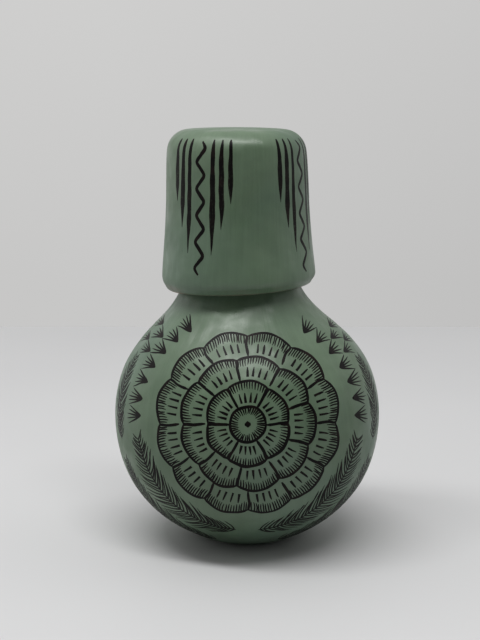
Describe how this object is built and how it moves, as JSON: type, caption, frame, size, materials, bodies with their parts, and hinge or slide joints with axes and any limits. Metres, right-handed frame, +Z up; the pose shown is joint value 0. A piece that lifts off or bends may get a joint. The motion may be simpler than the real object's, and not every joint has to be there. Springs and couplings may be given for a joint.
{
  "type": "clay carafe with tumbler",
  "caption": "Round-bellied hand-painted clay carafe whose tumbler stands upside down over the neck and lifts off.",
  "frame": {"origin": "middle of the carafe's flat foot, on the axis of its belly", "axes": "+Z up along the belly's axis; -Y is the front, with the main flower; the neck and the tumbler stand a little towards -X"},
  "size_m": [0.1454, 0.1454, 0.2234],
  "materials": {
    "green_slip": "burnished satin slip",
    "black_line": "brushed-on pigment, burnished",
    "bare_clay": "matt"
  },
  "bodies": {
    "bottle": {"bottle": "green_slip"},
    "cup": {"cup": "green_slip"}
  },
  "joints": [
    {"name": "cup_lift", "type": "slide", "parent": "bottle", "child": "cup", "axis": [0, 0, 1], "range_m": [0, 0.1]}
  ]
}
